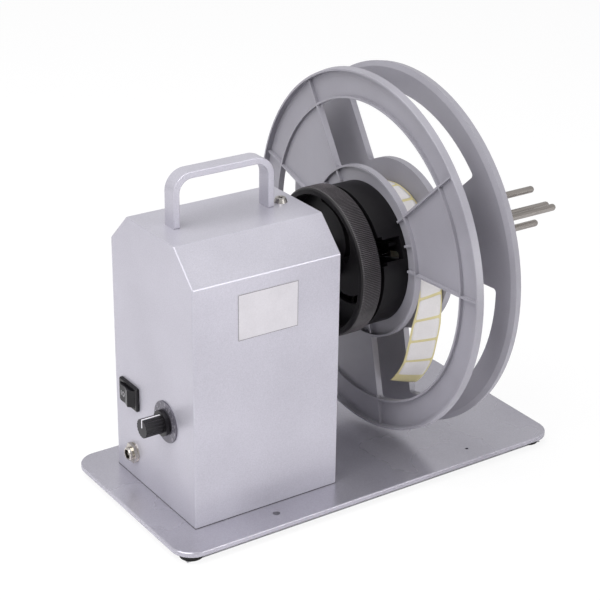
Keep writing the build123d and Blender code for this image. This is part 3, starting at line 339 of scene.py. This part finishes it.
TAIL_LEAVES = np.radians(112.0)
TAIL = np.array([(-34.5, 22.5), (-45.5, 5.0), (-48.8, -13.0), (-46.8, -31.0), (-43.5, -47.5), (-38.5, -63.0)]) * MM
TAIL_TIP = np.array([-26.5, -79.0]) * MM
LABEL_PITCH = 15.3 * MM
LABEL_LENGTH = 13.4 * MM
LABEL_WIDTH = 16.8 * MM
LABEL_CORNER = 1.2 * MM
TWIST_SHARE = [0.0, 0.2, 0.45, 0.55, 0.63, 0.8, 1.0]
TWIST_MM = [0.0, -0.6, -1.5, 0.0, 1.6, 1.95, 2.6]


def smooth_path(points, start_slope, end_slope, steps=24):
    """Smooth curve through points: cubic Hermite spans whose slopes are half the step between their neighbours,
    with given directions at both ends. Returns places and unit directions."""
    spans = np.diff(points, axis=0)
    slopes = np.vstack([start_slope * np.linalg.norm(spans[0]), (points[2:] - points[:-2]) / 2,
                        end_slope * np.linalg.norm(spans[-1])])
    t = np.linspace(0.0, 1.0, steps, endpoint=False)[None, :, None]
    p0, p1, m0, m1 = points[:-1, None], points[1:, None], slopes[:-1, None], slopes[1:, None]
    places = (2 * t**3 - 3 * t**2 + 1) * p0 + (t**3 - 2 * t**2 + t) * m0
    places = places + (3 * t**2 - 2 * t**3) * p1 + (t**3 - t**2) * m1
    places = np.vstack([places.reshape(-1, 2), points[-1:]])
    directions = np.gradient(places, axis=0)
    return places, directions / np.linalg.norm(directions, axis=1)[:, None]


leaving_point = ROLL_RADIUS * 1.0035 * np.array([np.cos(TAIL_LEAVES), np.sin(TAIL_LEAVES)])
leaving_direction = np.array([-np.sin(TAIL_LEAVES), np.cos(TAIL_LEAVES)])
tail_places, tail_directions = smooth_path(
    np.vstack([leaving_point, TAIL, TAIL_TIP]), leaving_direction, np.array([0.75, -0.66])
)
tail_along = np.concatenate([[0.0], np.cumsum(np.linalg.norm(np.diff(tail_places, axis=0), axis=1))])
TAIL_LENGTH = float(tail_along[-1])


def web_points(along, across, lift):
    """Place on the web at a distance along it from where it leaves the roll (negative on the roll), across it from
    -1 to 1, and lifted off its outer face. On the roll it is a circle; on the loose end the two edges part by a
    twist that grows along it, the right edge forward."""
    angle = TAIL_LEAVES + np.minimum(along, 0.0) / ROLL_RADIUS
    on_roll = (ROLL_RADIUS + lift)[..., None] * np.stack([np.cos(angle), np.sin(angle)], axis=-1)
    y = np.interp(along, tail_along, tail_places[:, 0])
    z = np.interp(along, tail_along, tail_places[:, 1])
    side_y = np.interp(along, tail_along, tail_directions[:, 1])
    side_z = np.interp(along, tail_along, -tail_directions[:, 0])
    share = np.clip(along / TAIL_LENGTH, 0.0, 1.0)
    twist = MM * across * np.interp(share, TWIST_SHARE, TWIST_MM)
    curl = 0.35 * MM * (across**2 - 0.4) * share
    out = lift + twist - curl
    loose = np.stack([y, z], axis=-1) - out[..., None] * np.stack([-side_y, -side_z], axis=-1)
    drop = 1.6 * MM * across * np.clip((share - 0.8) / 0.2, 0.0, 1.0)
    loose = loose + drop[..., None] * np.stack([-side_z, side_y], axis=-1)
    flat = np.where((along < 0.0)[..., None], on_roll, loose)
    x = (WEB_LEFT + WEB_RIGHT) / 2 + across * (WEB_RIGHT - WEB_LEFT) / 2
    return np.stack([x, flat[..., 0], AXIS_Z + flat[..., 1]], axis=-1)


def loose_web():
    """The loose end of the liner: a grid along it and across it on the web's surface."""
    along, across = np.meshgrid(np.linspace(0.0, TAIL_LENGTH, 90), np.linspace(-1.0, 1.0, 13), indexing="ij")
    points = web_points(along, across, np.zeros_like(along))
    return points.reshape(-1, 3), grid_faces(*along.shape)


def label_patches(first, last, lift):
    """Rows of labels: each is a grid along and across the web, lifted off the liner, whose half width near an end
    is W/2 - (r - sqrt(r^2 - (r - d)^2)) at distance d < r from that end, which rounds its corners."""
    starts = np.arange(first, last - LABEL_LENGTH, LABEL_PITCH)
    end = 1 - np.cos(np.linspace(0.0, np.pi / 2, 5))
    along = np.concatenate([end * LABEL_CORNER, np.linspace(LABEL_CORNER, LABEL_LENGTH - LABEL_CORNER, 12)[1:-1],
                            LABEL_LENGTH - end[::-1] * LABEL_CORNER])
    from_end = np.minimum(along, LABEL_LENGTH - along)
    inset = LABEL_CORNER - np.sqrt(np.maximum(LABEL_CORNER**2 - np.maximum(LABEL_CORNER - from_end, 0.0) ** 2, 0.0))
    half = (LABEL_WIDTH / 2 - inset) / ((WEB_RIGHT - WEB_LEFT) / 2)
    side = np.linspace(-1.0, 1.0, 11)
    u = starts[:, None, None] + along[None, :, None] + 0.0 * side[None, None, :]
    v = 0.0 * starts[:, None, None] + half[None, :, None] * side[None, None, :]
    points = web_points(u, v, np.full_like(u, lift))
    cells = grid_faces(len(along), len(side))
    count = len(along) * len(side)
    faces = (cells[None] + count * np.arange(len(starts))[:, None, None]).reshape(-1, 4)
    return points.reshape(-1, 3), faces


web = thicken(make_piece("label_web_loose_end", *loose_web(), "reel", liner_face), 0.12 * MM, 0.0)
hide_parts("label_tail")
tail_labels = make_piece("labels_on_loose_end", *label_patches(4.2 * MM, TAIL_LENGTH - 1.0 * MM, 0.16 * MM), "reel",
                         label_face)
thicken(tail_labels, 0.08 * MM)
roll_labels = make_piece("labels_on_roll", *label_patches(4.2 * MM - 15 * LABEL_PITCH, 2.5 * MM, 0.1 * MM), "reel",
                         label_face)
thicken(roll_labels, 0.08 * MM)


def roll_skin():
    """Outer turn of the liner on the roll: a cylinder a hair above the wound edges."""
    angle = np.linspace(0.0, 2 * np.pi, 180, endpoint=False)
    across = np.linspace(0.02 * MM, WEB_RIGHT - WEB_LEFT - 0.02 * MM, 3)
    radius = ROLL_RADIUS + 0.03 * MM
    x = WEB_LEFT + across[:, None] + 0.0 * angle[None, :]
    points = np.stack([x, radius * np.cos(angle) + 0.0 * x, AXIS_Z + radius * np.sin(angle) + 0.0 * x], axis=-1)
    return points.reshape(-1, 3), grid_faces(len(across), len(angle), around=True)[:, ::-1]


make_piece("roll_outer_turn", *roll_skin(), "reel", liner_face)

# ---------------------------------------------------------------- print on the dial and the switch


def strokes(lines, width, place):
    """Flat strips along straight lines: each line from a to b becomes a rectangle of that width and a little longer
    than the line; place turns flat (n, 2) points into (n, 3) points."""
    lines = np.array(lines, float)
    a, b = lines[:, 0], lines[:, 1]
    along = (b - a) / np.linalg.norm(b - a, axis=1)[:, None]
    side = np.stack([-along[:, 1], along[:, 0]], axis=1) * width / 2
    a, b = a - along * width / 2, b + along * width / 2
    flat = np.stack([a - side, b - side, b + side, a + side], axis=1).reshape(-1, 2)
    return place(flat), np.arange(len(flat)).reshape(-1, 4)


def on_left_end(centre, x):
    """Places flat points on the case's left end about a (Y, Z) centre: flat x runs to -Y and flat y to +Z."""

    def place(flat):
        return np.stack([np.full(len(flat), x), centre[0] - flat[:, 0], centre[1] + flat[:, 1]], axis=1)

    return place


def ring_lines(radius_x, radius_y, centre, count=16):
    """Closed many-sided ring as short lines."""
    angle = np.linspace(0.0, 2 * np.pi, count + 1)
    points = np.stack([centre[0] + radius_x * np.cos(angle), centre[1] + radius_y * np.sin(angle)], axis=1)
    return list(zip(points[:-1], points[1:]))


DIGITS = {
    "0": [(0, 0), (1, 0), (1, 2), (0, 2), (0, 0)],
    "1": [(0.5, 0), (0.5, 2)],
    "2": [(0, 2), (1, 2), (1, 1), (0, 1), (0, 0), (1, 0)],
    "3": [(0, 2), (1, 2), (1, 1), (0.3, 1), (1, 1), (1, 0), (0, 0)],
    "4": [(0, 2), (0, 1), (1, 1), (1, 2), (1, 0)],
    "5": [(1, 2), (0, 2), (0, 1), (1, 1), (1, 0), (0, 0)],
    "6": [(1, 2), (0, 2), (0, 0), (1, 0), (1, 1), (0, 1)],
    "7": [(0, 2), (1, 2), (0.4, 0)],
    "8": [(0, 0), (1, 0), (1, 2), (0, 2), (0, 0), (0, 1), (1, 1)],
    "9": [(1, 1), (0, 1), (0, 2), (1, 2), (1, 0), (0, 0)],
}


def dial_lines():
    """Ticks and numbers of the dial: a tick each 27 degrees with a number outside it, and shorter ticks between."""
    lines = []
    for step in range(21):
        angle = np.radians(225.0 - step * 13.5)
        outward = np.array([np.cos(angle), np.sin(angle)])
        outer = 9.6 * MM if step % 2 == 0 else 9.2 * MM
        lines.append((outward * 8.2 * MM, outward * outer))
        if step % 2 == 0:
            centre = outward * 10.9 * MM
            text = str(step // 2)
            for place, digit in enumerate(text):
                shape = np.array(DIGITS[digit]) * 0.75 * MM
                shape += centre - np.array([0.375 * MM + (len(text) - 1 - 2 * place) * 0.5 * MM, 0.75 * MM])
                lines += list(zip(shape[:-1], shape[1:]))
    return lines


dial_print = make_piece(
    "dial_figures", *strokes(dial_lines(), 0.2 * MM, on_left_end(DIAL, CASE_LEFT - 0.84 * MM)), "machine", dial_ink
)

ROCKER_PIVOT = np.array([-135.0 * MM, 27.2 * MM])
ROCKER_VALLEY = 3.2 * MM
ROCKER_SLOPE = 0.7 / 4.9
LEAN = np.radians(-6.0)


def on_rocker(flat):
    """Flat points on the rocker: flat x runs along it to +Y and flat y is up. Each half of it slopes from 3.2 mm
    above the pivot at its middle to 3.9 mm at 4.9 mm from there, and the rocker leans by 6 degrees."""
    along = flat[:, 0]
    height = ROCKER_VALLEY + ROCKER_SLOPE * np.abs(along) + 0.05 * MM
    y = along * np.cos(LEAN) - height * np.sin(LEAN)
    out = along * np.sin(LEAN) + height * np.cos(LEAN)
    return np.stack([ROCKER_PIVOT[0] - out, ROCKER_PIVOT[1] + y, SWITCH[1] + flat[:, 1]], axis=1)


on_mark = [(np.array([3.9, -1.5]) * MM, np.array([3.9, 1.5]) * MM)]
off_mark = ring_lines(0.9 * MM, 1.4 * MM, (1.5 * MM, 0.0))
rocker_marks = make_piece("rocker_marks", *strokes(on_mark + off_mark, 0.35 * MM, on_rocker), "rocker", white_print)

# ---------------------------------------------------------------- small trim


def flat_ring(x, inner, outer, centre=(0.0, AXIS_Z), count=96):
    """Flat ring square to X, between two radii about a (Y, Z) centre."""
    angle = np.linspace(0.0, 2 * np.pi, count, endpoint=False)
    radius = np.array([inner, outer])[:, None]
    y = centre[0] + radius * np.cos(angle)
    z = centre[1] + radius * np.sin(angle)
    return np.stack([np.full_like(y, x), y, z], axis=-1).reshape(-1, 3), grid_faces(2, count, around=True)[:, ::-1]


seal = thicken(make_piece("bearing_seal", *flat_ring(-42.35 * MM, 5.95 * MM, 8.75 * MM), "machine", seal_rubber),
               0.3 * MM)


def on_front(x, z, flat):
    """Flat points on the case's front, 0.32 mm proud of the sheet: flat x runs to +X and flat y up."""
    return np.stack([x + flat[:, 0], np.full(len(flat), CASE_FRONT - 0.32 * MM), z + flat[:, 1]], axis=1)


half_size = np.array(NAME_PLATE_SIZE) / 2 - 0.25 * MM
corners = np.array([(-1, -1), (1, -1), (1, 1), (-1, 1), (-1, -1)]) * half_size
border = make_piece(
    "name_plate_border",
    *strokes(list(zip(corners[:-1], corners[1:])), 0.3 * MM, lambda flat: on_front(*NAME_PLATE_CENTRE, flat)),
    "machine",
    dark_print,
)

def painted_foot_gap_shade():
    """Painted shade of the gap under the case's sheet: a dark upright strip round its foot, 0.04 mm proud of its four
    sides.
    """
    x = CASE_LEFT + np.array([-1.0, 1.0, 1.0, -1.0]) * 0.04 * MM + np.array([0.0, 1.0, 1.0, 0.0]) * CASE_SIZE[0]
    y = CASE_FRONT + np.array([-1.0, -1.0, 1.0, 1.0]) * 0.04 * MM + np.array([0.0, 0.0, 1.0, 1.0]) * CASE_SIZE[1]
    z = np.array([PLATE_TOP + 0.02 * MM, PLATE_TOP + PAINTED_SHADE_HEIGHT])[:, None] + 0.0 * x
    points = np.stack([x + 0.0 * z, y + 0.0 * z, z], axis=-1)
    return points.reshape(-1, 3), grid_faces(2, 4, around=True)


# dark strip painted as the shade in the gap under the case's sheet
make_piece("case_foot_painted_shade", *painted_foot_gap_shade(), "machine", seam_shade, smooth=False)


# ---------------------------------------------------------------- floor, light and camera


def backdrop():
    """A plain pale floor, seen white from above with a soft shadow of the object, and not seen from below."""
    material = bpy.data.materials.new("studio_floor")
    material.use_nodes = True
    tree = material.node_tree
    tree.nodes.clear()
    diffuse = add_node(tree, "ShaderNodeBsdfDiffuse", {"Color": linear("#f4f3f5")})
    glow = add_node(tree, "ShaderNodeEmission", {"Color": (1.0, 1.0, 1.0, 1.0), "Strength": 1.04})
    rays = add_node(tree, "ShaderNodeLightPath")
    # the floor within 128 by 60 mm of the plate's middle stays dark, so that the plate's through holes look dark
    place = add_node(tree, "ShaderNodeTexCoord").outputs["Object"]
    from_plate = add_node(tree, "ShaderNodeVectorMath", {0: place, 1: (*PLATE_CENTRE, 0.0)}, operation="SUBTRACT")
    size = add_node(tree, "ShaderNodeVectorMath", {0: from_plate.outputs["Vector"]}, operation="ABSOLUTE")
    parts = add_node(tree, "ShaderNodeSeparateXYZ", {"Vector": size.outputs["Vector"]})
    beyond_x = add_node(tree, "ShaderNodeMath", {0: parts.outputs["X"], 1: 128 * MM}, operation="GREATER_THAN")
    beyond_y = add_node(tree, "ShaderNodeMath", {0: parts.outputs["Y"], 1: 60 * MM}, operation="GREATER_THAN")
    outside = add_node(tree, "ShaderNodeMath", {0: beyond_x.outputs["Value"], 1: beyond_y.outputs["Value"]},
                       operation="MAXIMUM")
    seen = add_node(tree, "ShaderNodeMath", {0: rays.outputs["Is Camera Ray"], 1: outside.outputs["Value"]},
                    operation="MULTIPLY")
    share = add_node(tree, "ShaderNodeMath", {0: seen.outputs["Value"], 1: 0.85}, operation="MULTIPLY")
    mixed = add_node(tree, "ShaderNodeMixShader", {0: share.outputs["Value"], 1: diffuse.outputs["BSDF"],
                                                   2: glow.outputs["Emission"]})
    # seen from below, the floor isn't there
    below = add_node(tree, "ShaderNodeNewGeometry").outputs["Backfacing"]
    clear = add_node(tree, "ShaderNodeBsdfTransparent")
    floor_side = add_node(tree, "ShaderNodeMixShader", {0: below, 1: mixed.outputs["Shader"],
                                                        2: clear.outputs["BSDF"]})
    add_node(tree, "ShaderNodeOutputMaterial", {"Surface": floor_side.outputs["Shader"]})
    corners = np.array([(-4, -4, 0), (4, -4, 0), (4, 4, 0), (-4, 4, 0)], float)
    mesh = bpy.data.meshes.new("floor")
    mesh.from_pydata(corners.tolist(), [], [(0, 1, 2, 3)])
    mesh.materials.append(material)
    floor = bpy.data.objects.new("floor", mesh)
    bpy.context.scene.collection.objects.link(floor)


def sky():
    """Even soft room light; the camera sees plain white, and shiny surfaces see a paler grey."""
    world = bpy.data.worlds.new("white_room")
    bpy.context.scene.world = world
    world.use_nodes = True
    tree = world.node_tree
    rays = add_node(tree, "ShaderNodeLightPath")
    direct = add_node(tree, "ShaderNodeMath", {
        0: rays.outputs["Is Camera Ray"], 1: rays.outputs["Is Transmission Ray"]}, operation="MAXIMUM")
    mirrored = add_node(tree, "ShaderNodeMath", {0: rays.outputs["Is Glossy Ray"], 1: 0.62}, operation="MULTIPLY")
    seen = add_node(tree, "ShaderNodeMath", {0: direct.outputs["Value"], 1: mirrored.outputs["Value"]},
                    operation="MAXIMUM")
    strength = add_node(tree, "ShaderNodeMapRange", {"Value": seen.outputs["Value"], "To Min": 0.3, "To Max": 1.0})
    ground = tree.nodes["Background"]
    ground.inputs["Color"].default_value = (1.0, 1.0, 1.0, 1.0)
    tree.links.new(strength.outputs["Result"], ground.inputs["Strength"])


def lamp(name, place, aim, size, power):
    """Square soft box at a place, turned to face a point."""
    light = bpy.data.lights.new(name, "AREA")
    light.size = size
    light.energy = power
    made = bpy.data.objects.new(name, light)
    bpy.context.scene.collection.objects.link(made)
    made.location = place
    direction = np.array(aim) - np.array(place)
    made.rotation_mode = "QUATERNION"
    made.rotation_quaternion = Vector(direction.tolist()).to_track_quat("-Z", "Y")


backdrop()
sky()
lamp("soft_box_left", (-1.4, -0.1, 0.8), (-0.05, 0.0, 0.12), 0.9, 6.0)
lamp("soft_box_top", (-0.5, -0.05, 1.5), (0.0, 0.0, 0.1), 1.5, 24.0)
lamp("soft_box_front", (0.5, -1.5, 0.2), (-0.05, 0.0, 0.02), 0.7, 13.0)

lens = bpy.data.cameras.new("camera")
lens.sensor_width = 36.0
lens.lens = 103.24
lens.clip_start = 0.05
lens.clip_end = 20.0
camera = bpy.data.objects.new("camera", lens)
bpy.context.scene.collection.objects.link(camera)
camera.location = (-0.55187, -0.76100, 0.52163)
camera.rotation_euler = np.radians((65.79127, -0.66195, -33.87484)).tolist()
bpy.context.scene.camera = camera
bpy.context.scene.view_settings.view_transform = "Standard"
